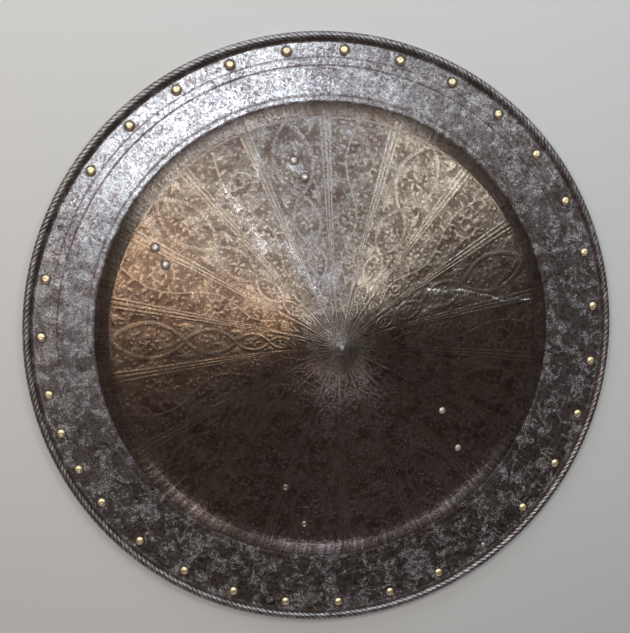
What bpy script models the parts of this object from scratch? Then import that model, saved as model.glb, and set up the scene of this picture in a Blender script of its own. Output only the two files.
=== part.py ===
"""Round steel target shield with a pointed dome, a flat brim and a rolled edge.

The shield lies face up. The origin is at the middle of the plane that the rolled edge rests on,
+Z points out through the tip of the dome, and lengths are in metres.
"""

import math

import bmesh
import bpy
import numpy as np
from mathutils import Matrix, Vector

# Sizes of the plate

SHIELD_RADIUS = 0.290
PLATE_THICKNESS = 0.0016
ROLL_RADIUS = 0.0037
ROLL_FLAT_WIDTH = 0.0024
CREASE_DEPTH = 0.0014
FILLET_WIDTH = 0.0034
FILLET_RISE = 0.0009
DOME_RADIUS = 0.2235
SHOULDER_WIDTH = 0.0205
SHOULDER_HEIGHT = 0.0130
CONE_RISE = 0.047
FLARE_RISE = 0.046
FLARE_REACH = 0.030

# Sizes of the rivets

LINING_EDGE_DISTANCE = 0.0174
LINING_SHANK_RADIUS = 0.0013
LINING_CAP_RADIUS = 0.0043
LINING_CAP_HEIGHT = 0.0023
LINING_TAIL_RADIUS = 0.0021
LINING_TAIL_LENGTH = 0.0018
BARE_HEAD_RADIUS = 0.0019
BARE_HEAD_HEIGHT = 0.0006
STRAP_SHANK_RADIUS = 0.0015
STRAP_HEAD_RADIUS = 0.0034
STRAP_HEAD_HEIGHT = 0.0019
STRAP_TAIL_RADIUS = 0.0032
STRAP_TAIL_THICKNESS = 0.0011

# Each run of lining rivets is evenly spaced: first angle and last angle in degrees, and its gaps

LINING_RUNS = ((5.1, 98.1, 8), (98.1, 191.5, 8), (191.5, 216.2, 3), (216.2, 306.4, 8), (306.4, 365.1, 5))
EMPTY_HOLE_ANGLE = 157.0
BARE_RIVET_ANGLE = 306.4

# Sizes of the straps. Each end is held by a pair of rivets, and the middle of the pair is placed by its
# angle in degrees and its distance in from the edge of the dome. The margin is from a rivet to the side
# of the strap at its full width.

STRAP_THICKNESS = 0.0030
STRAP_TAB_LENGTH = 0.015
STRAP_END_SHARE = 0.62
HAND_STRAP = {
    "name": "hand_strap",
    "start_angle": 100.34,
    "start_inset": 0.0619,
    "end_angle": 153.98,
    "end_inset": 0.0461,
    "width": 0.034,
    "rivet_margin": 0.00775,
    "slack": 0.0200,
}
FOREARM_STRAP = {
    "name": "forearm_strap",
    "start_angle": 258.40,
    "start_inset": 0.0550,
    "end_angle": 321.99,
    "end_inset": 0.0730,
    "width": 0.064,
    "rivet_margin": 0.0100,
    "slack": 0.0240,
}

# Gap left between pieces that touch on the real shield, and how finely round shapes are cut

GAP = 0.0003
PLATE_SIDES = 64
RIVET_SIDES = 8
CONE_STEPS = 8
SHOULDER_STEPS = 3
ROLL_TOP_STEPS = 4
ROLL_LOW_STEPS = 2
CREASE_ANGLE = math.radians(150.0)
STRAP_ROWS = 16
STRAP_COLUMNS = 3

# Places worked out from the sizes

ROLL_CENTRE_RADIUS = SHIELD_RADIUS - ROLL_RADIUS
FLAT_HALF_ANGLE = math.asin(0.5 * ROLL_FLAT_WIDTH / ROLL_RADIUS)
ROLL_CENTRE_HEIGHT = ROLL_RADIUS * math.cos(FLAT_HALF_ANGLE)
BRIM_HEIGHT = ROLL_CENTRE_HEIGHT + 0.5 * PLATE_THICKNESS
CONE_RADIUS = DOME_RADIUS - SHOULDER_WIDTH
LINING_CIRCLE_RADIUS = SHIELD_RADIUS - LINING_EDGE_DISTANCE

MATERIALS = {
    "steel": ((0.30, 0.27, 0.25), 0.42, 1.0),
    "brass": ((0.66, 0.53, 0.30), 0.38, 1.0),
    "iron": ((0.20, 0.17, 0.15), 0.55, 1.0),
    "leather": ((0.13, 0.07, 0.04), 0.70, 0.0),
}


def clear_scene():
    """Remove the objects of an open scene."""
    for old in list(bpy.data.objects):
        bpy.data.objects.remove(old, do_unlink=True)


def make_material(name):
    """Make a plain material with its colour, roughness and metallic value."""
    colour, roughness, metallic = MATERIALS[name]
    material = bpy.data.materials.new(name)
    material.use_nodes = True
    shader = material.node_tree.nodes["Principled BSDF"]
    shader.inputs["Base Color"].default_value = (*colour, 1.0)
    shader.inputs["Roughness"].default_value = roughness
    shader.inputs["Metallic"].default_value = metallic
    return material


def dome_height(radius):
    """Height of the dome's front above the brim at a radius inside the brim."""
    share = radius / CONE_RADIUS
    if share > 1.0:
        across = (radius - CONE_RADIUS) / SHOULDER_WIDTH
        start_slope = CONE_RISE / CONE_RADIUS * SHOULDER_WIDTH / SHOULDER_HEIGHT
        return SHOULDER_HEIGHT * (1.0 - start_slope * across - (1.0 - start_slope) * across ** 2)
    faded = math.exp(-CONE_RADIUS / FLARE_REACH)
    flare = math.exp(-radius / FLARE_REACH) - share * faded
    return SHOULDER_HEIGHT + CONE_RISE * (1.0 - share) + FLARE_RISE * flare


def dome_radii():
    """Radii from the tip to the brim, close together near the tip where the dome bends most."""
    cone = [CONE_RADIUS * (step / CONE_STEPS) ** 1.8 for step in range(CONE_STEPS)]
    shoulder = [CONE_RADIUS + SHOULDER_WIDTH * step / SHOULDER_STEPS for step in range(SHOULDER_STEPS + 1)]
    return cone + shoulder


def roll_point(angle):
    """A point on the rolled edge, by its angle about the roll's own centre."""
    return (ROLL_CENTRE_RADIUS + ROLL_RADIUS * math.cos(angle),
            ROLL_CENTRE_HEIGHT + ROLL_RADIUS * math.sin(angle))


def front_profile():
    """The front from the tip out to the crease beside the roll, as radius and height."""
    points = [(radius, BRIM_HEIGHT + dome_height(radius)) for radius in dome_radii()]
    crease_radius, crease_top = roll_point(CREASE_ANGLE)
    fillet_end = crease_radius - 0.5 * CREASE_DEPTH
    points.append((fillet_end - FILLET_WIDTH, BRIM_HEIGHT))
    points.append((fillet_end, BRIM_HEIGHT + FILLET_RISE))
    points.append((crease_radius, min(crease_top, BRIM_HEIGHT + FILLET_RISE) - CREASE_DEPTH))
    return points


def roll_profile():
    """The rolled edge from the crease, over the outside, to where it meets the back of the brim."""
    low_angle = 0.5 * math.pi - FLAT_HALF_ANGLE
    inner_angle = math.pi - math.asin(0.5 * PLATE_THICKNESS / ROLL_RADIUS)
    top_start = CREASE_ANGLE - math.radians(12.0)
    points = [roll_point(top_start * (1.0 - step / ROLL_TOP_STEPS)) for step in range(ROLL_TOP_STEPS + 1)]
    points += [roll_point(-low_angle * step / ROLL_LOW_STEPS) for step in range(1, ROLL_LOW_STEPS + 1)]
    points.append(roll_point(-math.pi + low_angle))
    points.append(roll_point(-inner_angle))
    return points


def back_profile():
    """The hollow back from the brim in to the tip: the front moved in by the plate's thickness."""
    points = []
    step = 0.0002
    for radius in dome_radii()[::-1]:
        slope = (dome_height(radius + step) - dome_height(max(radius - step, 0.0))) / (2.0 * step)
        if radius >= DOME_RADIUS - step:
            slope = (dome_height(radius) - dome_height(radius - step)) / step * 0.5
        lean = math.atan(slope)
        inner = radius + PLATE_THICKNESS * math.sin(lean)
        if inner > 2.0 * PLATE_THICKNESS:
            points.append((inner, BRIM_HEIGHT + dome_height(radius) - PLATE_THICKNESS * math.cos(lean)))
    tip_slope = (CONE_RISE / CONE_RADIUS + FLARE_RISE / FLARE_REACH)
    tip_drop = PLATE_THICKNESS * math.hypot(1.0, tip_slope)
    points.append((0.0, BRIM_HEIGHT + dome_height(0.0) - tip_drop))
    return points


def height_on(profile, radius):
    """Height at a radius on a profile, read between its points as the faceted plate has it."""
    ordered = sorted(profile)
    return float(np.interp(radius, [point[0] for point in ordered], [point[1] for point in ordered]))


def slope_on(profile, radius):
    """Slope of a profile at a radius."""
    step = 0.004
    return (height_on(profile, radius + step) - height_on(profile, radius - step)) / (2.0 * step)


def add_object(name, mesh, material, smooth_angle=35.0):
    """Put a mesh in the scene as a named object with its material and smooth shading."""
    mesh.materials.append(material)
    mesh.shade_smooth()
    mesh.set_sharp_from_angle(angle=math.radians(smooth_angle))
    piece = bpy.data.objects.new(name, mesh)
    bpy.context.scene.collection.objects.link(piece)
    return piece


def turned_mesh(name, profile, sides):
    """Turn a profile that starts and ends on the Z axis into a closed solid."""
    shape = bmesh.new()
    points = [shape.verts.new((radius, 0.0, height)) for radius, height in profile]
    edges = [shape.edges.new(pair) for pair in zip(points, points[1:])]
    bmesh.ops.spin(shape, geom=points + edges, cent=(0.0, 0.0, 0.0), axis=(0.0, 0.0, 1.0),
                   angle=math.tau, steps=sides, use_merge=True)
    bmesh.ops.remove_doubles(shape, verts=shape.verts, dist=0.00001)
    bmesh.ops.recalc_face_normals(shape, faces=shape.faces)
    mesh = bpy.data.meshes.new(name)
    shape.to_mesh(mesh)
    shape.free()
    return mesh


def add_plate(material):
    """The steel plate: dome, shoulder, brim and rolled edge in one sheet."""
    profile = front_profile() + roll_profile() + back_profile()
    return add_object("shield_plate", turned_mesh("shield_plate", profile, PLATE_SIDES), material)


def lining_angles():
    """Angles of the lining rivet holes, in degrees."""
    return [first + (last - first) * step / gaps for first, last, gaps in LINING_RUNS for step in range(gaps)]


def nearest_angle(wanted):
    """The lining rivet angle that lies nearest to the one wanted."""
    return min(lining_angles(), key=lambda angle: abs(angle - wanted))


def lining_place(angle):
    """Where a lining rivet's axis leaves the face of the brim."""
    turn = math.radians(angle)
    return Vector((LINING_CIRCLE_RADIUS * math.cos(turn), LINING_CIRCLE_RADIUS * math.sin(turn), BRIM_HEIGHT))


def lining_rivet_mesh():
    """A domed brass cap on a shank whose end is spread on the back."""
    tail_top = -PLATE_THICKNESS - LINING_TAIL_LENGTH
    return turned_mesh("lining_rivet", [
        (0.0, GAP + LINING_CAP_HEIGHT),
        (LINING_CAP_RADIUS * 0.62, GAP + LINING_CAP_HEIGHT * 0.74),
        (LINING_CAP_RADIUS, GAP),
        (LINING_SHANK_RADIUS, GAP),
        (LINING_SHANK_RADIUS, tail_top + LINING_TAIL_LENGTH * 0.45),
        (LINING_TAIL_RADIUS, tail_top),
        (0.0, tail_top),
    ], RIVET_SIDES)


def bare_rivet_mesh():
    """A rivet that has lost its cap: the worn stub of the shank."""
    tail_top = -PLATE_THICKNESS - LINING_TAIL_LENGTH
    return turned_mesh("bare_lining_rivet", [
        (0.0, GAP + BARE_HEAD_HEIGHT),
        (BARE_HEAD_RADIUS * 0.8, GAP + BARE_HEAD_HEIGHT),
        (BARE_HEAD_RADIUS, GAP),
        (LINING_SHANK_RADIUS, GAP),
        (LINING_SHANK_RADIUS, tail_top + LINING_TAIL_LENGTH * 0.45),
        (LINING_TAIL_RADIUS, tail_top),
        (0.0, tail_top),
    ], RIVET_SIDES)


def strap_rivet_mesh():
    """A low iron head, a shank through plate and leather, and a washer spread on the back."""
    washer_top = -PLATE_THICKNESS - STRAP_THICKNESS - 3.0 * GAP
    washer_end = washer_top - STRAP_TAIL_THICKNESS
    return turned_mesh("strap_rivet", [
        (0.0, GAP + STRAP_HEAD_HEIGHT),
        (STRAP_HEAD_RADIUS * 0.66, GAP + STRAP_HEAD_HEIGHT * 0.72),
        (STRAP_HEAD_RADIUS, GAP),
        (STRAP_SHANK_RADIUS, GAP),
        (STRAP_SHANK_RADIUS, washer_top),
        (STRAP_TAIL_RADIUS, washer_top),
        (STRAP_TAIL_RADIUS * 0.8, washer_end),
        (0.0, washer_end),
    ], RIVET_SIDES)


def strap_ends(strap):
    """The two places where a strap is held, seen from above."""
    places = []
    for end in ("start", "end"):
        radius = DOME_RADIUS - strap[f"{end}_inset"]
        turn = math.radians(strap[f"{end}_angle"])
        places.append(Vector((radius * math.cos(turn), radius * math.sin(turn))))
    return places


def strap_rivet_frames(strap):
    """Placements of a strap's four rivets, each square to the plate where it stands."""
    start, end = strap_ends(strap)
    along = (end - start).normalized()
    across = Vector((-along.y, along.x))
    front = front_profile()
    frames = []
    for middle in (start, end):
        for side in (-0.5, 0.5):
            spot = middle + across * (strap["width"] - 2.0 * strap["rivet_margin"]) * side
            radius = spot.length
            slope = slope_on(front, radius)
            normal = Vector((-slope * spot.x / radius, -slope * spot.y / radius, 1.0)).normalized()
            turn = Vector((0.0, 0.0, 1.0)).rotation_difference(normal).to_matrix().to_4x4()
            frames.append(Matrix.Translation((spot.x, spot.y, height_on(front, radius))) @ turn)
    return frames


def add_hole_cutter():
    """One hidden cutter with a rod for every rivet hole in plate and straps."""
    shape = bmesh.new()
    rods = []
    for angle in lining_angles():
        rods.append((Matrix.Translation(lining_place(angle)), LINING_SHANK_RADIUS))
    for strap in (HAND_STRAP, FOREARM_STRAP):
        rods += [(frame, STRAP_SHANK_RADIUS) for frame in strap_rivet_frames(strap)]
    length = 6.0 * (PLATE_THICKNESS + STRAP_THICKNESS)
    for frame, shank in rods:
        clear_radius = (shank + GAP) / math.cos(math.pi / RIVET_SIDES)
        bmesh.ops.create_cone(shape, cap_ends=True, cap_tris=False, segments=RIVET_SIDES,
                              radius1=clear_radius, radius2=clear_radius, depth=length, matrix=frame)
    mesh = bpy.data.meshes.new("rivet_hole_cutter")
    shape.to_mesh(mesh)
    shape.free()
    cutter = bpy.data.objects.new("rivet_hole_cutter", mesh)
    cutter.hide_render = True
    cutter.display_type = "WIRE"
    bpy.context.scene.collection.objects.link(cutter)
    return cutter


def cut_holes(piece, cutter):
    """Cut the rivet holes out of a piece."""
    cut = piece.modifiers.new("rivet_holes", "BOOLEAN")
    cut.operation = "DIFFERENCE"
    cut.solver = "EXACT"
    cut.object = cutter


def add_strap(strap, material):
    """A leather strap under the plate: both ends lie on the steel, and the middle hangs slack and level."""
    start, end = strap_ends(strap)
    along = (end - start).normalized()
    across = Vector((-along.y, along.x))
    middle = (start + end) / 2.0
    half_span = (end - start).length / 2.0
    half_length = half_span + STRAP_TAB_LENGTH
    tab_reach = half_span - STRAP_TAB_LENGTH
    back = back_profile()
    shape = bmesh.new()
    bmesh.ops.create_grid(shape, x_segments=STRAP_ROWS, y_segments=STRAP_COLUMNS, size=1.0)
    for corner in shape.verts:
        lengthwise = corner.co.x * half_length
        rounding = min(1.0, (half_length - abs(lengthwise)) / STRAP_TAB_LENGTH)
        width_share = STRAP_END_SHARE + (1.0 - STRAP_END_SHARE) * math.sin(0.5 * math.pi * rounding)
        crosswise = corner.co.y * 0.5 * strap["width"] * width_share
        spine = middle + along * lengthwise
        spot = spine + across * crosswise
        loose = 0.0
        if abs(lengthwise) < tab_reach:
            loose = 0.5 * (1.0 + math.cos(math.pi * lengthwise / tab_reach))
        plate_height = (1.0 - loose) * height_on(back, spot.length) + loose * height_on(back, spine.length)
        corner.co = (spot.x, spot.y, plate_height - GAP - loose * strap["slack"])
    top = bmesh.ops.extrude_face_region(shape, geom=shape.faces[:])
    lower = [item for item in top["geom"] if isinstance(item, bmesh.types.BMVert)]
    bmesh.ops.translate(shape, verts=lower, vec=(0.0, 0.0, -STRAP_THICKNESS))
    bmesh.ops.recalc_face_normals(shape, faces=shape.faces)
    mesh = bpy.data.meshes.new(strap["name"])
    shape.to_mesh(mesh)
    shape.free()
    return add_object(strap["name"], mesh, material, 50.0)


def main():
    """Build every piece of the shield."""
    clear_scene()
    materials = {name: make_material(name) for name in MATERIALS}
    cutter = add_hole_cutter()
    cut_holes(add_plate(materials["steel"]), cutter)

    empty = nearest_angle(EMPTY_HOLE_ANGLE)
    bare = nearest_angle(BARE_RIVET_ANGLE)
    capped = [angle for angle in lining_angles() if angle not in (empty, bare)]
    for number, angle in enumerate(capped, start=1):
        rivet = add_object(f"lining_rivet_{number:02d}", lining_rivet_mesh(), materials["brass"])
        rivet.location = lining_place(angle)
    stub = add_object("bare_lining_rivet", bare_rivet_mesh(), materials["iron"])
    stub.location = lining_place(bare)

    number = 0
    for strap in (HAND_STRAP, FOREARM_STRAP):
        cut_holes(add_strap(strap, materials["leather"]), cutter)
        for frame in strap_rivet_frames(strap):
            number += 1
            rivet = add_object(f"strap_rivet_{number}", strap_rivet_mesh(), materials["iron"])
            rivet.matrix_world = frame


main()
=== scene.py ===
# %% [markdown]
# # A round steel target shield, from a plain solid to old etched metal
#
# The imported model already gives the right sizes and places: one turned plate, a ring of rivets and two
# straps. This lesson dresses it. The plate gets its etched bands and its roped edge, the rivets get real
# heads, the straps get stitched leather, and every surface gets a finish that four centuries would leave.

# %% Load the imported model
import math

import bmesh
import bpy
import numpy as np
from mathutils import Matrix, Vector


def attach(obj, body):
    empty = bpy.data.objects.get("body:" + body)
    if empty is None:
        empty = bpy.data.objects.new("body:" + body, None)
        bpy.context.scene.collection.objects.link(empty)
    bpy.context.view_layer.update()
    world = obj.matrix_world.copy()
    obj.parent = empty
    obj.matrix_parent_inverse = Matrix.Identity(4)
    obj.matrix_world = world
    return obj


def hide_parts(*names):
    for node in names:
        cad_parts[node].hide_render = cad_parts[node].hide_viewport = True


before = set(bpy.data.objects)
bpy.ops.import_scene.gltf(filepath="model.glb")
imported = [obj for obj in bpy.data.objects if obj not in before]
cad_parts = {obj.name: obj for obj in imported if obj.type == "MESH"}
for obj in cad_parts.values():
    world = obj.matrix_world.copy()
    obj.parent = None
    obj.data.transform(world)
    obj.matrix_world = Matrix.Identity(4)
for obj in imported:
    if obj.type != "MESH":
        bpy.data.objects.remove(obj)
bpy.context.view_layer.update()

# %% [markdown]
# ## The camera
#
# The photograph looks almost straight down on the face, from a little beyond the upper left. A camera is
# an empty with a lens: it is placed on a sphere round the shield by its tilt and its turn, and then
# pointed at a spot near the middle. It comes first, so that each later step can be judged in its view.

# %% Place the camera
CAMERA_DISTANCE = 1.0
CAMERA_TILT = math.radians(10.67)
CAMERA_TURN = math.radians(137.5)
BRIM_HEIGHT = 0.0043

camera_data = bpy.data.cameras.new("camera")
camera_data.lens = 58.05
camera_data.sensor_width = 36.0
camera = bpy.data.objects.new("camera", camera_data)
bpy.context.scene.collection.objects.link(camera)
camera_place = CAMERA_DISTANCE * Vector((
    math.sin(CAMERA_TILT) * math.cos(CAMERA_TURN),
    math.sin(CAMERA_TILT) * math.sin(CAMERA_TURN),
    math.cos(CAMERA_TILT)))
camera_place.z += BRIM_HEIGHT
aim = Vector((-0.0114, 0.0173, BRIM_HEIGHT))
backwards = (camera_place - aim).normalized()
sideways = Vector((0.0, 1.0, 0.0)).cross(backwards).normalized()
upwards = backwards.cross(sideways)
facing = Matrix((sideways, upwards, backwards)).transposed().to_4x4()
camera.matrix_world = Matrix.Translation(camera_place) @ facing
bpy.context.scene.camera = camera
print("camera", [round(value, 3) for value in camera.location])

# %% [markdown]
# ## The shape of the plate
#
# The plate was raised from one sheet: a dome drawn up to a point, a steep shoulder, a flat brim and an edge
# rolled over a wire. All of that is the same at every angle, so one outline describes it. The sizes are
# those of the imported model, because the dressed plate has to sit exactly where the solid plate is.

# %% Sizes of the plate
SHIELD_RADIUS = 0.290
THICKNESS = 0.0016
ROLL_RADIUS = 0.0037
ROLL_CENTRE = (SHIELD_RADIUS - ROLL_RADIUS, 0.0035)
DOME_RADIUS = 0.2235
CONE_RADIUS = 0.2030
SHOULDER_HEIGHT = 0.0130
CONE_RISE = 0.047
FLARE_RISE = 0.046
FLARE_REACH = 0.030
FILLET_START = 0.2790
FILLET_END = 0.2824
FILLET_RISE = 0.0009
HAIR = 0.000001


def face_height(radius):
    """Height of the plain face at each radius, from the tip to the crease beside the roll."""
    radius = np.asarray(radius, float)
    share = radius / CONE_RADIUS
    faded = math.exp(-CONE_RADIUS / FLARE_REACH)
    flare = FLARE_RISE * (np.exp(-radius / FLARE_REACH) - share * faded)
    cone = SHOULDER_HEIGHT + CONE_RISE * (1.0 - share) + flare
    across = (radius - CONE_RADIUS) / (DOME_RADIUS - CONE_RADIUS)
    lean = CONE_RISE / CONE_RADIUS * (DOME_RADIUS - CONE_RADIUS) / SHOULDER_HEIGHT
    shoulder = SHOULDER_HEIGHT * (1.0 - lean * across - (1.0 - lean) * across ** 2)
    fillet = FILLET_RISE * np.clip((radius - FILLET_START) / (FILLET_END - FILLET_START), 0.0, 1.0)
    height = np.where(radius < CONE_RADIUS, cone, np.where(radius < DOME_RADIUS, shoulder, fillet))
    return BRIM_HEIGHT + height


def face_slope(radius):
    """Slope of the plain face at each radius."""
    step = 0.0003
    radius = np.asarray(radius, float)
    inner = np.maximum(radius - step, 0.0)
    return (face_height(radius + step) - face_height(inner)) / (radius + step - inner)


def back_point(radius):
    """The point of the hollow side that lies under a point of the face."""
    slope = float(face_slope(radius))
    lean = math.atan(slope)
    return radius + THICKNESS * math.sin(lean), float(face_height(radius)) - THICKNESS * math.cos(lean)


print("tip of the plain plate at", round(float(face_height(0.0)), 4))

# %% [markdown]
# ## The etched ornament
#
# Etching leaves the design standing while acid sinks the ground round it. Eighteen bands run from the tip to
# the shoulder, and the panels between them hold interlaced straps and scrolls with leaves. The design could
# be cut with thousands of small curves, but it is quicker to draw it on a board: a grid of numbers that is
# 1 where metal stands and 0 where acid has eaten. The mesh then reads its height from the board.

# %% Make the drawing board
BOARD_CELL = 0.0004
BOARD_HALF = 0.2260
BOARD_SIDE = int(2.0 * BOARD_HALF / BOARD_CELL) + 1
BOARD_SOFTNESS = 0.0006
board = np.zeros((BOARD_SIDE, BOARD_SIDE), np.float32)


def dab(points, half_widths, erase=False):
    """Draw round dabs on the board, or rub them out."""
    points = np.asarray(points, float)
    half_widths = np.broadcast_to(np.asarray(half_widths, float), len(points))
    cells = (points + BOARD_HALF) / BOARD_CELL
    nearest = np.rint(cells).astype(int)
    reach = int(math.ceil((float(half_widths.max()) + BOARD_SOFTNESS) / BOARD_CELL))
    for step_x in range(-reach, reach + 1):
        for step_y in range(-reach, reach + 1):
            spots = nearest + (step_x, step_y)
            away = np.hypot(spots[:, 0] - cells[:, 0], spots[:, 1] - cells[:, 1]) * BOARD_CELL
            ink = np.clip((half_widths - away) / BOARD_SOFTNESS + 0.5, 0.0, 1.0).astype(np.float32)
            touched = ink > 0.0
            rows = np.clip(spots[touched, 0], 0, BOARD_SIDE - 1)
            columns = np.clip(spots[touched, 1], 0, BOARD_SIDE - 1)
            if erase:
                np.minimum.at(board, (rows, columns), 1.0 - ink[touched])
            else:
                np.maximum.at(board, (rows, columns), ink[touched])


def read_board(x, y):
    """Read the board at any place, blended between its cells."""
    across = np.clip((np.asarray(x) + BOARD_HALF) / BOARD_CELL, 0.0, BOARD_SIDE - 1.001)
    down = np.clip((np.asarray(y) + BOARD_HALF) / BOARD_CELL, 0.0, BOARD_SIDE - 1.001)
    column = across.astype(int)
    row = down.astype(int)
    part_x = across - column
    part_y = down - row
    low = board[column, row] * (1.0 - part_x) + board[column + 1, row] * part_x
    high = board[column, row + 1] * (1.0 - part_x) + board[column + 1, row + 1] * part_x
    return low * (1.0 - part_y) + high * part_y


print("board of", BOARD_SIDE, "by", BOARD_SIDE, "cells")

# %% [markdown]
# ## Panels between the bands
#
# A panel widens from the tip outwards, and so does its ornament. Each motif is therefore placed by how many
# repeats out it lies and how far across the panel, and one small function turns that into a place on the
# plate. The bands are spaced as on the real shield, so each panel has its own width.

# %% Lay out the panels
BAND_ANGLES = (10.5, 31.0, 49.5, 72.0, 91.0, 112.5, 131.0, 152.0, 170.5,
               190.5, 211.0, 231.0, 253.0, 275.0, 294.0, 315.0, 333.0, 353.0)
BAND_HALF_WIDTH = 1.55
BAND_MARGIN = 0.9
PATTERN_START = 0.0265
PATTERN_GROWTH = 1.508
PATTERN_REPEATS = 5
PATTERN_END = 0.2085
ornament_random = np.random.default_rng(11)


def panel_place(panel, along, across):
    """Turn repeats outwards and a share across a panel into places on the plate."""
    first = BAND_ANGLES[panel]
    last = BAND_ANGLES[(panel + 1) % len(BAND_ANGLES)] + (360.0 if panel + 1 == len(BAND_ANGLES) else 0.0)
    half = 0.5 * (last - first) - BAND_HALF_WIDTH - BAND_MARGIN
    radius = PATTERN_START * PATTERN_GROWTH ** np.asarray(along, float)
    turn = np.radians(0.5 * (first + last) + np.asarray(across, float) * half)
    return np.stack([radius * np.cos(turn), radius * np.sin(turn)], -1)


def even_points(points):
    """Space points evenly along a line, close enough for the dabs to run together."""
    steps = np.hypot(*np.diff(points, axis=0).T)
    walked = np.concatenate([[0.0], np.cumsum(steps)])
    count = max(2, int(walked[-1] / (0.8 * BOARD_CELL)) + 1)
    wanted = np.linspace(0.0, walked[-1], count)
    return np.stack([np.interp(wanted, walked, points[:, axis]) for axis in (0, 1)], -1)


def strap_half_width(points):
    """An etched strap is wider far from the tip."""
    return 0.0007 + 0.0052 * np.hypot(points[:, 0], points[:, 1])


def leaf(root, heading, length, curl, half_width):
    """A leaf: a short curved stroke that swells and then tapers to a point."""
    count = max(5, int(length / BOARD_CELL))
    share = np.linspace(0.0, 1.0, count)
    turn = heading + curl * share
    step = length / count
    points = np.stack([np.cumsum(np.cos(turn)), np.cumsum(np.sin(turn))], -1) * step + root
    return points, half_width * np.sin(math.pi * np.clip(share ** 0.75, 0.04, 0.96)) + 0.0001


print("panels:", len(BAND_ANGLES))

# %% [markdown]
# ## Interlaced straps
#
# Every second panel carries two straps that cross and part again. To make one pass over the other, a
# crossing is rubbed out a little wider than the strap and the upper strap is drawn again through it.

# %% Draw the interlaced panels
STRAP_CLEARING = 0.0007
GROOVED_FROM = 0.085
GROOVE_HALF_WIDTH = 0.00028
STRAP_END = PATTERN_REPEATS + 0.12


def strap_line(panel, side, start, end):
    """Part of one strap, as evenly spaced points."""
    along = np.linspace(start, end, 240)
    wave = np.sin(math.pi * along)
    across = side * 0.74 * np.sign(wave) * np.abs(wave) ** 0.72
    return even_points(panel_place(panel, along, across))


def draw_strap(line):
    """A flat strap, with a fine line cut along its middle where it is wide enough."""
    half_width = strap_half_width(line)
    dab(line, half_width + STRAP_CLEARING, erase=True)
    dab(line, half_width)
    outer = np.hypot(line[:, 0], line[:, 1]) > GROOVED_FROM
    if outer.any():
        dab(line[outer], GROOVE_HALF_WIDTH, erase=True)


def draw_interlaced(panel):
    """Two crossing straps, a flower in each opening and leaves beside each crossing."""
    leaves = []
    for repeat in range(PATTERN_REPEATS):
        middle = panel_place(panel, repeat + 0.5, 0.0)
        size = 0.0023 + 0.030 * float(np.hypot(*middle))
        first_turn = ornament_random.uniform(0.0, math.tau)
        petals = 5 if repeat else 4
        for petal in range(petals):
            turn = first_turn + math.tau * petal / petals
            leaves.append(leaf(middle + 0.25 * size * np.array([math.cos(turn), math.sin(turn)]), turn,
                               size, 0.9, 0.19 * size + 0.0002))
        for side in (-1.0, 1.0):
            crossing = panel_place(panel, repeat + 1.0, 0.0)
            edge = panel_place(panel, repeat + 1.0, side * 0.92)
            inwards = crossing - edge
            heading = math.atan2(inwards[1], inwards[0])
            reach = float(np.hypot(*inwards))
            for fan in (-0.9, -0.3, 0.3, 0.9):
                leaves.append(leaf(edge, heading + fan, reach * 0.52, 0.7 * fan, 0.07 * reach + 0.0003))
    for points, widths in leaves:
        dab(points, widths)
    for side in (-1.0, 1.0):
        draw_strap(strap_line(panel, side, 0.0, STRAP_END))
    for repeat in range(1, PATTERN_REPEATS + 1):
        upper = 1.0 if repeat % 2 else -1.0
        draw_strap(strap_line(panel, upper, repeat - 0.10, min(repeat + 0.10, STRAP_END)))


for panel_number in range(0, len(BAND_ANGLES), 2):
    draw_interlaced(panel_number)
print("interlaced panels cover", round(float(board.mean()), 3), "of the board")

# %% [markdown]
# ## Scrolls and leaves
#
# The other panels carry a stem that winds outwards. At each bend it throws off a scroll, and leaves grow
# from both. A spiral is a circle whose radius shrinks as it turns, so a few numbers give the whole motif.

# %% Draw the scroll panels
STEM_SWING = 0.46
STEM_LEAVES = 26
SCROLL_TURNS = 1.35
SCROLL_SHRINK = 0.80
SCROLL_LEAVES = 9
SCROLL_PETALS = 5


def draw_scrolls(panel):
    """A winding stem with a scroll at each bend and leaves all along."""
    along = np.linspace(0.05, PATTERN_REPEATS + 0.1, 420)
    stem = even_points(panel_place(panel, along, STEM_SWING * np.sin(math.pi * along)))
    stem_width = 0.0004 + 0.0030 * np.hypot(stem[:, 0], stem[:, 1])
    dab(stem, stem_width)
    for repeat in range(PATTERN_REPEATS):
        bend = 1.0 if repeat % 2 == 0 else -1.0
        middle = panel_place(panel, repeat + 0.52, -0.30 * bend)
        edge = panel_place(panel, repeat + 0.52, -0.92 * bend)
        reach = float(np.hypot(*(middle - edge))) * 1.02
        outwards = math.atan2(middle[1], middle[0])
        share = np.linspace(0.0, 1.0, 160)
        turn = outwards + bend * (math.pi * 0.9 + share * math.tau * SCROLL_TURNS)
        radius = reach * (1.0 - SCROLL_SHRINK * share)
        scroll = even_points(middle + np.stack([radius * np.cos(turn), radius * np.sin(turn)], -1))
        dab(scroll, 0.0004 + 0.0036 * float(np.hypot(*middle)))
        for number in range(SCROLL_LEAVES):
            at = int((0.06 + 0.09 * number) * (len(scroll) - 2))
            step = scroll[at + 1] - scroll[at]
            heading = math.atan2(step[1], step[0])
            dab(*leaf(scroll[at], heading - bend * 0.75, reach * (0.52 - 0.02 * number), -bend * 1.1,
                      0.10 * reach + 0.0003))
        for petal in range(SCROLL_PETALS):
            turn = math.tau * petal / SCROLL_PETALS
            dab(*leaf(scroll[-1], turn, reach * 0.22, 0.5, 0.07 * reach + 0.0003))
    for number in range(STEM_LEAVES):
        at = int((0.02 + 0.037 * number) * (len(stem) - 2))
        side = 1.0 if number % 2 else -1.0
        step = stem[at + 1] - stem[at]
        distance = float(np.hypot(*stem[at]))
        heading = math.atan2(step[1], step[0]) + side * 0.8
        dab(*leaf(stem[at], heading, 0.0035 + 0.034 * distance, side * 0.9, 0.0005 + 0.0060 * distance))


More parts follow.
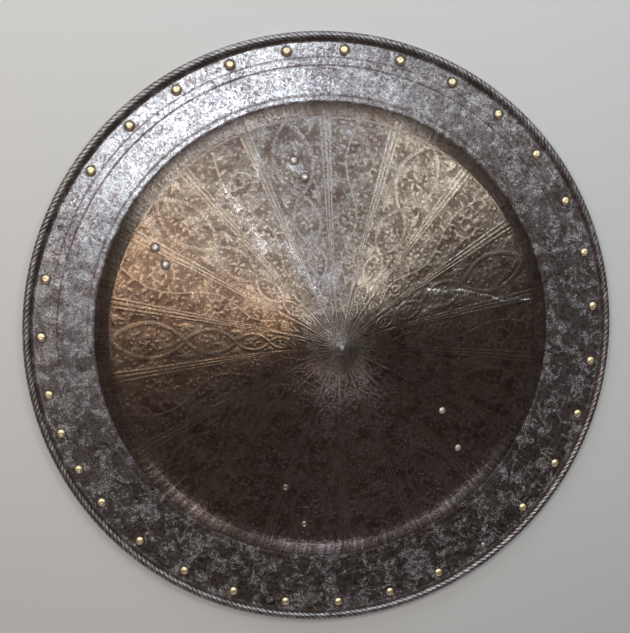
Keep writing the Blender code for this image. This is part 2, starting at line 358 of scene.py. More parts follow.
for panel_number in range(1, len(BAND_ANGLES), 2):
    draw_scrolls(panel_number)
print("with scrolls", round(float(board.mean()), 3), "of the board")

# %% [markdown]
# ## Filling the ground
#
# The etcher leaves no large empty ground. Small leaves are tried at random places from a fixed seed, and one
# is kept wherever the board is still bare.

# %% Scatter small leaves on bare ground
FILL_TRIES = 9000
tries = ornament_random.uniform(-PATTERN_END, PATTERN_END, (FILL_TRIES, 2))
headings = ornament_random.uniform(0.0, math.tau, FILL_TRIES)
ring = np.array([(math.cos(turn), math.sin(turn)) for turn in np.linspace(0.0, math.tau, 9)[:-1]])
kept = 0
for place, heading in zip(tries, headings):
    distance = float(np.hypot(*place))
    if not PATTERN_START * 1.05 < distance < PATTERN_END - 0.002:
        continue
    room = 0.0011 + 0.0075 * distance
    around = place + ring * room
    if read_board(around[:, 0], around[:, 1]).max() > 0.25 or read_board(*place) > 0.2:
        continue
    length = room * 1.9
    start = place - 0.5 * length * np.array([math.cos(heading), math.sin(heading)])
    dab(*leaf(start, heading - 0.5, length, 1.0, 0.36 * room + 0.0002))
    kept += 1
for softening in range(2):
    inner = board[1:-1, 1:-1] * 0.36
    inner += 0.11 * (board[:-2, 1:-1] + board[2:, 1:-1] + board[1:-1, :-2] + board[1:-1, 2:])
    inner += 0.05 * (board[:-2, :-2] + board[2:, 2:] + board[2:, :-2] + board[:-2, 2:])
    board[1:-1, 1:-1] = inner
print("small leaves kept:", kept)

# %% [markdown]
# ## Bands, border and rays
#
# The bands are plain: flat metal between fine cut lines. Near the tip the panels are too narrow for a design,
# and short rays fill them. All of this depends only on angle and radius, so it is written as one function
# that any point of the plate can ask.

# %% Heights of the etched face
ETCH_DEPTH = 0.00024
RAY_COUNT = 108
RAY_END = 0.028
RAY_SPLIT = 0.017
RAY_START = 0.0035
RAY_SIDES = (0.22, 0.66)


def smooth_step(low, high, value):
    """0 below low, 1 above high and a soft rise between them."""
    share = np.clip((value - low) / (high - low), 0.0, 1.0)
    return share * share * (3.0 - 2.0 * share)


def line_mask(value, middle, half_width):
    """1 on a line and 0 away from it."""
    return 1.0 - smooth_step(0.5 * half_width, 1.5 * half_width, np.abs(value - middle))


STREAKS = 1080
WORN_WAVES = 30
SHOULDER_START = PATTERN_END + 0.0016
streak_values = ornament_random.uniform(-1.0, 1.0, STREAKS)
worn_headings = ornament_random.uniform(0.0, math.tau, WORN_WAVES)
worn_lengths = ornament_random.uniform(0.007, 0.034, WORN_WAVES)


def shoulder_streaks(angle):
    """Marks of a stretching hammer, which run down the shoulder."""
    values = np.append(streak_values, streak_values[0])
    return np.interp(angle * STREAKS / 360.0, np.arange(STREAKS + 1), values)


def kept_etching(x, y):
    """How much of the etching is left: whole in the hollows of a slow pattern and half gone on its crests."""
    total = np.zeros_like(x)
    for number, (heading, length) in enumerate(zip(worn_headings, worn_lengths)):
        total += np.sin(math.tau * (x * math.cos(heading) + y * math.sin(heading)) / length + 1.7 * number)
    return 0.52 + 0.48 * smooth_step(-0.9, 0.8, total / math.sqrt(WORN_WAVES) * 1.4)


def standing_metal(x, y):
    """1 where the plate keeps its full height and 0 where acid has sunk it."""
    radius = np.hypot(x, y)
    angle = np.degrees(np.arctan2(y, x)) % 360.0
    bands = np.array(BAND_ANGLES + (BAND_ANGLES[0] + 360.0,))
    nearest = bands[np.abs(angle[:, None] - bands[None, :]).argmin(axis=1)]
    from_band = (angle - nearest + 180.0) % 360.0 - 180.0
    off_band = np.radians(np.abs(from_band)) * radius
    band_half = math.radians(BAND_HALF_WIDTH) * radius
    metal = read_board(x, y)
    turn = np.radians(angle)
    sway = 0.9 * np.sin(turn * 9.0 + radius * 260.0)
    count = np.where(radius < RAY_SPLIT, RAY_COUNT / 3.0, RAY_COUNT)
    rays = smooth_step(*RAY_SIDES, 0.5 + 0.5 * np.cos(count * turn + sway))
    metal = np.where(radius < RAY_END + 0.004 * np.sin(turn * len(BAND_ANGLES)), rays, metal)
    metal = np.maximum(metal, line_mask(radius, PATTERN_END, 0.0011))
    on_band = 1.0 - smooth_step(-0.0004, 0.0004, off_band - band_half)
    metal = metal * (1.0 - smooth_step(0.0010, 0.0004, off_band - band_half)) + on_band
    metal = np.minimum(metal, 1.0 - line_mask(off_band, 0.42 * band_half, 0.0005) * (radius > 0.060))
    metal = 1.0 - (1.0 - np.clip(metal, 0.0, 1.0)) * kept_etching(x, y)
    marks = np.sin(radius * 1100.0 + 4.0 * np.sin(turn * 67.0))
    streaks = 0.55 + 0.45 * shoulder_streaks(angle) * (0.6 + 0.4 * marks)
    metal = np.where(radius > SHOULDER_START, streaks, metal)
    return np.where(radius < RAY_START, 1.0, np.clip(metal, 0.0, 1.0))


probe = np.linspace(0.05, 0.20, 2000)
print("standing share along one line:", round(float(standing_metal(probe, 0.4 * probe).mean()), 2))

# %% [markdown]
# ## The hammered surface
#
# Under the etching the sheet is never quite even: the hammer leaves shallow dishes a few centimetres across.
# A sum of waves in many directions gives such a surface without any picture. Both sides of the sheet follow
# it together, so the plate keeps its thickness. The brim has three turned lines, a seam parts it from the
# dome, and one long scratch crosses the right of the dome. The scratch is a chain of short straight cuts.

# %% Heights left by the hammer, the turned lines and the scratch
HAMMER_WAVES = 26
USUAL_DISH = 0.05
HAMMER_DEPTH = 0.00011
hammer_random = np.random.default_rng(5)
wave_headings = hammer_random.uniform(0.0, math.tau, HAMMER_WAVES)
wave_lengths = hammer_random.uniform(0.018, 0.075, HAMMER_WAVES)
wave_starts = hammer_random.uniform(0.0, math.tau, HAMMER_WAVES)
BRIM_LINES = ((0.2302, 0.0006, 0.00022), (0.2580, 0.0006, 0.00020), (0.2650, 0.0005, 0.00016))
SEAM_LINE = (DOME_RADIUS, 0.0009, 0.00025)
SCRATCH = ((9.2, 0.2045), (10.6, 0.1900), (10.4, 0.1775), (14.0, 0.1600), (15.9, 0.1500), (19.6, 0.1350),
           (22.0, 0.1180), (27.0, 0.1036))
SCRATCH_DEPTH = 0.00022
EVEN_TIP = (0.004, 0.030)
EVEN_EDGE = (0.268, 0.278)


def from_polar(angle, radius):
    """A place seen from above, from its angle in degrees and its radius."""
    return np.array([radius * math.cos(math.radians(angle)), radius * math.sin(math.radians(angle))])


def line_distance(x, y, start, end):
    """Distance from each point to a straight line between two places."""
    along = end - start
    share = ((x - start[0]) * along[0] + (y - start[1]) * along[1]) / float(along @ along)
    share = np.clip(share, 0.0, 1.0)
    return np.hypot(x - start[0] - share * along[0], y - start[1] - share * along[1])


def scratch_mask(x, y):
    """1 along the one long scratch, which frays and wanders a little."""
    fray = 0.0005 * np.sin(x * 1500.0) + 0.0004 * np.sin(x * 3700.0 + y * 900.0)
    mask = np.zeros_like(x)
    for first, last in zip(SCRATCH, SCRATCH[1:]):
        away = line_distance(x, y + fray, from_polar(*first), from_polar(*last))
        mask = np.maximum(mask, 1.0 - smooth_step(0.0004, 0.0014, away))
    return mask


def hammer_height(x, y):
    """Shallow dishes left by the hammer, none at the tip and the edge."""
    total = np.zeros_like(x)
    for heading, length, start in zip(wave_headings, wave_lengths, wave_starts):
        forward = x * math.cos(heading) + y * math.sin(heading)
        total += (length / USUAL_DISH) * np.sin(math.tau * forward / length + start)
    radius = np.hypot(x, y)
    fade = smooth_step(*EVEN_TIP, radius) * (1.0 - smooth_step(*EVEN_EDGE, radius))
    return HAMMER_DEPTH * total / math.sqrt(HAMMER_WAVES) * 1.4 * fade


def relief_height(x, y):
    """How far the finished face stands above the plain one, never more than nothing at the tip and edge."""
    radius = np.hypot(x, y)
    height = hammer_height(x, y)
    inside = radius < DOME_RADIUS
    deeper = 1.0 + 0.9 * (1.0 - smooth_step(0.020, 0.065, radius))
    deeper = np.where(radius > SHOULDER_START, 1.5, deeper)
    height = height - ETCH_DEPTH * deeper * (1.0 - standing_metal(x, y)) * inside
    height = height - SCRATCH_DEPTH * scratch_mask(x, y)
    for place, half_width, depth in BRIM_LINES + (SEAM_LINE,):
        height = height - depth * line_mask(radius, place, half_width)
    return height


print("hammer marks:", round(float(np.ptp(hammer_height(probe, probe))) * 1000, 3), "mm high")

# %% [markdown]
# ## Turning the plate in rings
#
# A turned shape is an outline carried round the axis. The spin operator does this well for a few dozen steps,
# but it slows down badly at a thousand. A flat grid bent into a ring gives the same shape at once: its rows
# follow the outline, and the two ends are merged. One such ring would crowd its points at the tip and starve
# the brim, so the plate is turned as a few rings that meet edge to edge, each with as many steps round as its
# width needs. Then each point of the face moves along the face's own direction by the height of the relief.

# %% Helpers that turn and dress a ring
def finished_mesh(name, shape, smooth_angle=40.0):
    """Turn a bmesh into an object whose faces point outwards."""
    bmesh.ops.recalc_face_normals(shape, faces=shape.faces)
    mesh = bpy.data.meshes.new(name)
    shape.to_mesh(mesh)
    shape.free()
    mesh.shade_smooth()
    mesh.set_sharp_from_angle(angle=math.radians(smooth_angle))
    piece = bpy.data.objects.new(name, mesh)
    bpy.context.scene.collection.objects.link(piece)
    return piece


def turn_outline(outline, steps, closed):
    """Bend a flat grid all the way round the axis, with its rows along an outline of radius and height."""
    rows = list(outline) + [outline[0]] * closed
    shape = bmesh.new()
    bmesh.ops.create_grid(shape, x_segments=len(rows) - 1, y_segments=steps, size=0.5)
    for corner in shape.verts:
        radius, height = rows[round((corner.co.x + 0.5) * (len(rows) - 1))]
        turn = math.tau * round((corner.co.y + 0.5) * steps) / steps
        corner.co = (radius * math.cos(turn), radius * math.sin(turn), height)
    bmesh.ops.remove_doubles(shape, verts=shape.verts, dist=0.000004)
    return shape


def read_places(mesh):
    """All points of a mesh as an array."""
    places = np.empty(len(mesh.vertices) * 3)
    mesh.vertices.foreach_get("co", places)
    return places.reshape(-1, 3)


def write_places(mesh, places):
    """Put changed points back in a mesh."""
    mesh.vertices.foreach_set("co", places.ravel())
    mesh.update()


def add_values(mesh, name, values):
    """Store one number for each point, for a material to read."""
    layer = mesh.attributes.new(name, "FLOAT", "POINT")
    layer.data.foreach_set("value", np.asarray(values, np.float32))


def raise_relief(piece):
    """Move a ring's face and back by the relief, and store what the materials need."""
    places = read_places(piece.data)
    x, y, z = places.T
    radius = np.hypot(x, y)
    on_face = z > face_height(radius) - 0.4 * THICKNESS
    slope = face_slope(radius)
    steep = np.sqrt(1.0 + slope ** 2)
    safe = np.maximum(radius, 0.000001)
    move = np.where(on_face, relief_height(x, y), hammer_height(x, y))
    outwards = np.where(radius > 0.0005, -slope / steep, 0.0) * move
    places[:, 0] = x + outwards * x / safe
    places[:, 1] = y + outwards * y / safe
    places[:, 2] = z + move / steep
    write_places(piece.data, places)
    inside = radius < DOME_RADIUS
    metal = np.where(on_face & inside, standing_metal(x, y), 1.0)
    add_values(piece.data, "metal", metal)
    return piece


print("helpers ready")

# %% [markdown]
# ## The domed middle
#
# Four rings make the dome. The steps round are chosen so that points are never more than about a millimetre
# apart, which is what the narrowest etched line needs. The ring at the tip has its points closer, because the
# rays there are the finest lines of all.

# %% Turn the dome
DOME_RINGS = (
    ("dome_tip", 0.0, 0.062, 756, 0.00058),
    ("dome_inner", 0.062, 0.128, 840, 0.00085),
    ("dome_outer", 0.128, 0.177, 1200, 0.00085),
    ("dome_shoulder", 0.177, DOME_RADIUS, 1440, 0.00085),
)
BACK_STEP = 0.008
TIP_THICKNESS = 0.0037
plate_pieces = []
for name, start, end, steps, spacing in DOME_RINGS:
    face_radii = np.linspace(start, end, int(round((end - start) / spacing)) + 1)
    back_radii = np.linspace(end, start, max(3, int((end - start) / BACK_STEP)))
    outline = [(radius, float(face_height(radius - HAIR))) for radius in face_radii if radius > 0.0]
    outline += [back_point(radius - HAIR) for radius in back_radii if radius > 0.004]
    if start == 0.0:
        tip = float(face_height(0.0))
        outline = [(0.0, tip)] + outline + [(0.0, tip - TIP_THICKNESS)]
    shape = turn_outline(outline, steps, closed=start > 0.0)
    plate_pieces.append(raise_relief(finished_mesh(name, shape)))
    print(name, len(plate_pieces[-1].data.polygons), "faces")

# %% [markdown]
# ## The brim
#
# The brim is flat, with fine lines turned into it, and its outer end rises in a small fillet towards the
# roll. One lining rivet has been lost, and its empty hole goes right through the sheet. A cutter shaped like
# the missing shank takes it out before the relief is raised.

# %% Turn the brim and drill the empty hole
LINING_RADIUS = 0.2726
EMPTY_HOLE_ANGLE = 157.51
HOLE_RADIUS = 0.0017
BRIM_STEPS = 1024

brim_radii = np.linspace(DOME_RADIUS, FILLET_START, 46)
brim_outline = [(radius, float(face_height(radius + HAIR))) for radius in brim_radii]
FILLET_LINE = ((0.2802, 0.0002), (0.2814, 0.00062), (FILLET_END, FILLET_RISE), (0.2829, 0.0004),
               (0.2833, -0.0005), (0.2842, -0.0006), (0.2842, -THICKNESS))
brim_outline += [(radius, BRIM_HEIGHT + height) for radius, height in FILLET_LINE]
brim_outline += [(radius, BRIM_HEIGHT - THICKNESS) for radius in np.linspace(0.2760, 0.2320, 6)]
brim_outline += [back_point(DOME_RADIUS - HAIR)]
brim = finished_mesh("brim", turn_outline(brim_outline, BRIM_STEPS, closed=True))

drill_shape = bmesh.new()
hole_place = from_polar(EMPTY_HOLE_ANGLE, LINING_RADIUS)
bmesh.ops.create_cone(drill_shape, cap_ends=True, segments=20, radius1=HOLE_RADIUS, radius2=HOLE_RADIUS,
                      depth=0.012, matrix=Matrix.Translation((*hole_place, BRIM_HEIGHT)))
drill = finished_mesh("drill", drill_shape)
drill.hide_render = True
drill.display_type = "WIRE"
cut = brim.modifiers.new("empty_hole", "BOOLEAN")
cut.operation = "DIFFERENCE"
cut.solver = "MANIFOLD"
cut.object = drill
drilled = bpy.data.meshes.new_from_object(brim.evaluated_get(bpy.context.evaluated_depsgraph_get()))
brim.modifiers.clear()
brim.data = drilled
bpy.data.objects.remove(drill, do_unlink=True)
plate_pieces.append(raise_relief(brim))
print("brim", len(brim.data.polygons), "faces")

# %% [markdown]
# ## The roped edge
#
# The sheet is turned over a wire and its rolled edge is filed into a rope. A rope's strands run round the
# roll as they run along it, so each strand is a line where steps along and steps round add up. The strands
# are cut in: their crests keep the roll's own size, and the underside stays flat where the shield rests.

# %% Turn the rolled edge and file the rope into it
STRANDS = 336
CREST_SHARPNESS = 0.65
STRAND_STEPS = 6
STRAND_TWIST = 5
STRAND_DEPTH = 0.00055
ROLL_POINTS = 30
ROLL_START = math.radians(162.0)
roll_outline = []
for number in range(ROLL_POINTS):
    turn = ROLL_START - math.tau * number / ROLL_POINTS
    height = max(0.0, ROLL_CENTRE[1] + ROLL_RADIUS * math.sin(turn))
    roll_outline.append((ROLL_CENTRE[0] + ROLL_RADIUS * math.cos(turn), height))
roll_shape = turn_outline(roll_outline, STRANDS * STRAND_STEPS, closed=True)
roped_edge = finished_mesh("roped_edge", roll_shape, 70.0)
places = read_places(roped_edge.data)
radius = np.hypot(places[:, 0], places[:, 1])
angle = np.arctan2(places[:, 1], places[:, 0])
round_roll = np.arctan2(places[:, 2] - ROLL_CENTRE[1], radius - ROLL_CENTRE[0])
phase = 0.5 * (STRANDS * angle + STRAND_TWIST * round_roll)
crest = np.abs(np.cos(phase)) ** CREST_SHARPNESS
worn_away = 0.75 + 0.25 * np.sin(angle * 7.0 + 1.0) * np.sin(angle * 3.0)
filed = STRAND_DEPTH * (1.0 - crest) * worn_away * smooth_step(0.0, 0.0012, places[:, 2])
new_radius = radius - filed * np.cos(round_roll)
places[:, 0] *= new_radius / radius
places[:, 1] *= new_radius / radius
places[:, 2] -= filed * np.sin(round_roll)
write_places(roped_edge.data, places)
add_values(roped_edge.data, "metal", crest)
add_values(roped_edge.data, "groove", 1.0 - crest)
plate_pieces.append(roped_edge)
print("roped edge", len(roped_edge.data.polygons), "faces, highest radius", round(float(new_radius.max()), 5))

# %% [markdown]
# ## Wear, dirt and painted light
#
# Wear isn't even. The tip, the scratch, a few streaks beside it and one by the upper strap rivets are
# rubbed bright. Three streaks at the upper left of the dome and a band on the lower shoulder are painted
# highlights, where the cone and the shoulder reflect the lamps and the floor in front. The brim has less rust
# towards the upper left. Dirt stays round every rivet and in the turned lines, and painted shade darkens the
# crease beside the roll and the rim of the empty hole, and, with some dirt, the foot of the dome. These
# places are stored on the points as three more numbers, polish with painted sheen, grime with painted shade
# and the rust by side, and the materials mix them with noise.

# %% Store polish and sheen, grime and shade, and rust by side on the plate
LINING_RUNS = ((5.1, 98.1, 8), (98.1, 191.5, 8), (191.5, 216.2, 3), (216.2, 306.4, 8), (306.4, 365.1, 5))
lining_angles = [first + (last - first) * step / gaps
                 for first, last, gaps in LINING_RUNS for step in range(gaps)]
empty_angle = min(lining_angles, key=lambda angle: abs(angle - 157.0))
bare_angle = min(lining_angles, key=lambda angle: abs(angle - 306.4))
capped = [angle for angle in lining_angles if angle not in (empty_angle, bare_angle)]
STRAPS = {
    "hand_strap": {"ends": ((100.34, 0.0619), (153.98, 0.0461)),
                   "width": 0.034, "margin": 0.00775, "slack": 0.0200},
    "forearm_strap": {"ends": ((258.40, 0.0550), (321.99, 0.0730)),
                      "width": 0.064, "margin": 0.0100, "slack": 0.0240},
}
# The three streaks from 108 to 127 degrees paint the radial highlight that the cone reflects; the one by the
# upper strap rivets and the three beside the scratch are wear.
POLISH_AND_SHEEN_STREAKS = (
    ((112.0, 0.185), (114.5, 0.165), 0.005),
    ((103.0, 0.168), (100.0, 0.158), 0.005),
    ((125.0, 0.170), (126.5, 0.105), 0.008),
    ((116.0, 0.100), (108.0, 0.045), 0.006),
    ((27.0, 0.100), (19.0, 0.138), 0.0045),
    ((17.0, 0.092), (17.0, 0.135), 0.0040),
    ((13.0, 0.165), (9.5, 0.205), 0.0030),
)
LESS_RUST_SIDE = 140.0


def strap_spots(strap):
    """The two ends of a strap and its four rivet places, seen from above."""
    start, end = [from_polar(angle, DOME_RADIUS - inset) for angle, inset in strap["ends"]]
    along = (end - start) / np.hypot(*(end - start))
    across = np.array([-along[1], along[0]])
    spacing = strap["width"] - 2.0 * strap["margin"]
    return start, end, [middle + across * spacing * side for middle in (start, end) for side in (-0.5, 0.5)]


def round_spot(x, y, spot, inner, outer):
    """1 within one distance of a spot and 0 beyond another."""
    return 1.0 - smooth_step(inner, outer, np.hypot(x - spot[0], y - spot[1]))


def store_wear(piece):
    """Work out polish and sheen, grime and shade, and rust by side at each point of a piece of the plate."""
    x, y, _ = read_places(piece.data).T
    radius = np.hypot(x, y)
    angle = np.degrees(np.arctan2(y, x)) % 360.0
    # Painted highlight: the lower shoulder is brightened where it would reflect the floor in front, broken by
    # the hammer streaks.
    shoulder_band = smooth_step(0.188, 0.206, radius) * (radius < DOME_RADIUS)
    lower_side_sheen = smooth_step(-0.1, 0.8, -y / np.maximum(radius, 0.01))
    rubbed = [1.5 * scratch_mask(x, y),
              1.5 * round_spot(x, y, (0.0, 0.0), 0.0012, 0.0030),
              0.80 * round_spot(x, y, (0.0, 0.0), 0.003, 0.026),
              0.95 * lower_side_sheen * shoulder_band * (0.55 + 0.45 * shoulder_streaks(angle))]
    # Three of these streaks, from 108 to 127 degrees, are a painted highlight; the rest are wear.
    for first, last, reach in POLISH_AND_SHEEN_STREAKS:
        away = line_distance(x, y, from_polar(*first), from_polar(*last))
        rubbed.append(0.75 * np.exp(-(away / reach) ** 2))
    # Painted shade: the line at the foot of the dome, with some dirt, the crease beside the roll and the rim
    # of the empty hole are darkened as shade. The rings round the rivets and the turned lines are dirt.
    dirt_and_shade = [0.65 * line_mask(radius, DOME_RADIUS + 0.0004, 0.0011)
             + smooth_step(FILLET_START, 0.2808, radius) * (radius < 0.2836),
             round_spot(x, y, from_polar(EMPTY_HOLE_ANGLE, LINING_RADIUS), 0.0019, 0.0027)]
    for strap in STRAPS.values():
        dirt_and_shade += [0.8 * round_spot(x, y, spot, 0.0036, 0.0056) for spot in strap_spots(strap)[2]]
    dirt_and_shade += [round_spot(x, y, from_polar(place, LINING_RADIUS), 0.0042, 0.0064) for place in capped]
    dirt_and_shade += [0.7 * line_mask(radius, place, half_width) for place, half_width, _ in BRIM_LINES]
    grime_and_shade = np.max(dirt_and_shade, axis=0)
    if "groove" in piece.data.attributes:
        groove = np.empty(len(x), np.float32)
        piece.data.attributes["groove"].data.foreach_get("value", groove)
        grime_and_shade = 0.60 * smooth_step(0.15, 0.70, groove)
    # Less rust towards the upper left of the brim, which makes that side lighter.
    from_less_rust_side = np.abs((angle - LESS_RUST_SIDE + 180.0) % 360.0 - 180.0)
    add_values(piece.data, "polish_and_sheen", np.max(rubbed, axis=0))
    add_values(piece.data, "grime_and_shade", np.clip(grime_and_shade, 0.0, 1.0))
    add_values(piece.data, "rust_by_side", 0.25 + 0.75 * smooth_step(50.0, 95.0, from_less_rust_side))


for piece in plate_pieces:
    store_wear(piece)
    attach(piece, "root")
    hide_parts("shield_plate")
print("plate pieces:", len(plate_pieces), "triangles:",
      sum(len(polygon.vertices) - 2 for piece in plate_pieces for polygon in piece.data.polygons))

# %% [markdown]
# ## Brass caps on the brim
#
# Each lining rivet wears a thin brass cap pressed over its head. Hammering leaves a small dimple in the top,
# and the rim of the cap is turned in. The shank and its spread tail show on the back. One spin of a short
# outline makes all of it, and the same outline serves thirty rivets.

# %% Make the lining rivets
GAP = 0.0003
SHANK_OUTLINE = ((0.0013, 0.0), (0.0013, -0.0026), (0.0018, -0.0028), (0.0021, -0.0032), (0.0017, -0.0034),
                 (0.0, -0.0034))
LINING_CAP_OUTLINE = (
    (0.0, 0.00195), (0.0006, 0.00200), (0.0012, 0.00225), (0.0019, 0.00218), (0.0028, 0.00180),
    (0.0036, 0.00118), (0.0041, 0.00060), (0.0043, 0.00025), (0.0042, 0.00006), (0.0038, 0.0),
) + SHANK_OUTLINE
CAP_STEPS = 28


def lining_matrix(angle):
    """Placement of a lining rivet on the brim, each cap turned a little differently."""
    x, y = from_polar(angle, LINING_RADIUS)
    return Matrix.Translation((x, y, BRIM_HEIGHT)) @ Matrix.Rotation(math.radians(angle * 7.0), 4, "Z")


def make_rivet(name, outline, matrix, node, bend=0.0):
    """Spin a rivet, bend its head a little out of round, put it in place and hide the imported node it
    replaces.
    """
    shape = turn_outline([(radius, height + GAP) for radius, height in outline], CAP_STEPS, closed=False)
    for corner in shape.verts:
        if corner.co.z > GAP:
            corner.co.x *= 1.0 - bend
            corner.co.z -= bend * 0.4 * corner.co.x
    bmesh.ops.transform(shape, matrix=matrix, verts=shape.verts)
    piece = finished_mesh(name, shape)
    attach(piece, "root")
    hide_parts(node)
    return piece


brass_pieces = []
for number, angle in enumerate(capped, start=1):
    bend = 0.05 * math.sin(number * 2.3)
    brass_pieces.append(make_rivet(f"lining_cap_{number:02d}", LINING_CAP_OUTLINE, lining_matrix(angle),
                                   f"lining_rivet_{number:02d}", abs(bend)))
print("brass caps:", len(brass_pieces))

# %% [markdown]
# ## Iron rivets
#
# One lining rivet has lost its cap, and only the worn end of its shank is left. The straps are held by
# eight iron rivets with low heads, each driven square to the dome, with a washer under the leather. The two
# heads at the bottom are dished, so they show as small rings.

# %% Make the iron rivets
BARE_OUTLINE = ((0.0, 0.00045), (0.0008, 0.00058), (0.0014, 0.00052), (0.0018, 0.00024),
                (0.0019, 0.0)) + SHANK_OUTLINE
STRAP_RIVET_OUTLINE = (
    (0.0, 0.00182), (0.0007, 0.00190), (0.0015, 0.00175), (0.0023, 0.00135), (0.0029, 0.00085),
    (0.0033, 0.00035), (0.0034, 0.00008), (0.0032, 0.0), (0.0015, 0.0), (0.0015, -0.0052),
    (0.0031, -0.0052), (0.0032, -0.0055), (0.0029, -0.0060), (0.0019, -0.0062), (0.0014, -0.0066),
    (0.0, -0.0066),
)
HOLLOW_OUTLINE = ((0.0, 0.00050), (0.0008, 0.00055), (0.0013, 0.00105), (0.0019, 0.00150), (0.0025, 0.00135))
HOLLOW_NUMBERS = (5, 6)
iron_pieces = [make_rivet("bare_stub", BARE_OUTLINE, lining_matrix(bare_angle), "bare_lining_rivet")]
rivet_number = 0
for strap in STRAPS.values():
    for spot in strap_spots(strap)[2]:
        rivet_number += 1
        distance = float(np.hypot(*spot))
        slope = float(face_slope(distance))
        outwards = Vector((-slope * spot[0] / distance, -slope * spot[1] / distance, 1.0)).normalized()
        upright = Vector((0.0, 0.0, 1.0)).rotation_difference(outwards).to_matrix().to_4x4()
        matrix = Matrix.Translation((spot[0], spot[1], float(face_height(distance)))) @ upright
        outline = STRAP_RIVET_OUTLINE
        if rivet_number in HOLLOW_NUMBERS:
            outline = HOLLOW_OUTLINE + STRAP_RIVET_OUTLINE[4:]
        iron_pieces.append(make_rivet(f"strap_rivet_head_{rivet_number}", outline, matrix,
                                      f"strap_rivet_{rivet_number}", 0.04))
print("iron rivets:", len(iron_pieces))

# %% [markdown]
# ## Leather straps
#
# The straps lie slack inside the hollow: the ends flat on the steel, the middle hanging level. A strap is a
# long grid bent to that line and given its thickness. Old leather is creased at the edges, so the long sides
# sink a little, and a row of stitches runs along each.

# %% Make the straps
STRAP_THICKNESS = 0.0030
TAB_LENGTH = 0.015
END_SHARE = 0.62
STITCH_LINE = 0.86


def strap_place(strap, along_share, across_share, below):
    """A place on a strap, from -1 to 1 along and across, and how far under its upper side."""
    start, end, _ = strap_spots(strap)
    length = float(np.hypot(*(end - start)))
    along = (end - start) / length
    across = np.array([-along[1], along[0]])
    half_length = 0.5 * length + TAB_LENGTH
    lengthwise = along_share * half_length
    rounding = min(1.0, (half_length - abs(lengthwise)) / TAB_LENGTH)
    width_share = END_SHARE + (1.0 - END_SHARE) * math.sin(0.5 * math.pi * rounding)
    spine = 0.5 * (start + end) + along * lengthwise
    spot = spine + across * across_share * 0.5 * strap["width"] * width_share
    reach = 0.5 * length - TAB_LENGTH
    loose = 0.5 * (1.0 + math.cos(math.pi * lengthwise / reach)) if abs(lengthwise) < reach else 0.0
    seat = [under_plate(float(np.hypot(*place))) for place in (spot, spine)]
    height = (1.0 - loose) * seat[0] + loose * seat[1] - GAP - loose * strap["slack"] - below
    return Vector((spot[0], spot[1], height))


back_line = np.array(sorted(back_point(radius) for radius in np.linspace(0.004, DOME_RADIUS - HAIR, 400)))


def under_plate(radius):
    """Height of the hollow side at a radius."""
    return float(np.interp(radius, back_line[:, 0], back_line[:, 1]))


def make_strap(name):
    """A strap with softened, slightly sunken long edges."""
    strap = STRAPS[name]
    shape = bmesh.new()
    bmesh.ops.create_grid(shape, x_segments=90, y_segments=22, size=1.0)
    flat = {corner: (corner.co.x, corner.co.y) for corner in shape.verts}
    lower = bmesh.ops.extrude_face_region(shape, geom=list(shape.faces))
    lower_points = {item: None for item in lower["geom"] if isinstance(item, bmesh.types.BMVert)}
    flat.update({corner: (corner.co.x, corner.co.y) for corner in lower_points})
    for corner, (along, across) in flat.items():
        edge = max(abs(along) ** 14, abs(across) ** 10)
        crease = 0.00022 * math.sin(along * 37.0 + across * 2.0) * math.sin(along * 11.0)
        stitch_line = 0.0004 * math.exp(-((abs(across) - STITCH_LINE) / 0.035) ** 2)
        shrink = 0.0008 * edge
        below = shrink + max(crease, 0.0)
        if corner in lower_points:
            below = STRAP_THICKNESS - shrink - stitch_line + crease
        corner.co = strap_place(strap, along, across, below)
    piece = finished_mesh(f"{name}_leather", shape, 60.0)
    add_values(piece.data, "edge", [max(abs(along), abs(across)) for along, across in flat.values()])
    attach(piece, "root")
    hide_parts(name)
    return piece


leather_pieces = [make_strap(name) for name in STRAPS]
print("straps:", [len(piece.data.polygons) for piece in leather_pieces])

# %% [markdown]
# ## Stitches
#
# A stitch shows as a short thread that dips into the leather at both ends. One small ball stretched into a
# rod is copied along both sides of each strap, on the side that faces away from the plate.

# %% Sew the straps
STITCH_SPACING = 0.0052
THREAD_WIDTH = 0.0008
stitch_pieces = []
for name, strap in STRAPS.items():
    start, end, _ = strap_spots(strap)
    count = int((float(np.hypot(*(end - start))) + TAB_LENGTH) / STITCH_SPACING)
    shape = bmesh.new()
    for side in (-STITCH_LINE, STITCH_LINE):
        for number in range(count):
            share = ((number + 0.5) / count * 2.0 - 1.0) * STITCH_LINE
            first = strap_place(strap, share - 0.6 / count, side, STRAP_THICKNESS - 0.0002)
            last = strap_place(strap, share + 0.6 / count, side, STRAP_THICKNESS - 0.0002)
            stitch = bmesh.ops.create_uvsphere(shape, u_segments=6, v_segments=5, radius=0.5)
            line = last - first
            turn = Vector((0.0, 0.0, 1.0)).rotation_difference(line.normalized()).to_matrix().to_4x4()
            stretch = Matrix.Diagonal((THREAD_WIDTH, THREAD_WIDTH, line.length, 1.0))
            bmesh.ops.transform(shape, matrix=Matrix.Translation(0.5 * (first + last)) @ turn @ stretch,
                                verts=stitch["verts"])
    piece = finished_mesh(f"{name}_stitches", shape, 80.0)
    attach(piece, "root")
    stitch_pieces.append(piece)
print("stitches:", [len(piece.data.polygons) for piece in stitch_pieces])

# %% [markdown]
# ## Small tools for materials
#
# Every finish below is a network of nodes. Two helpers keep them readable: one adds a node and fills or links
# its inputs, and one opens a new node group with named inputs and outputs.

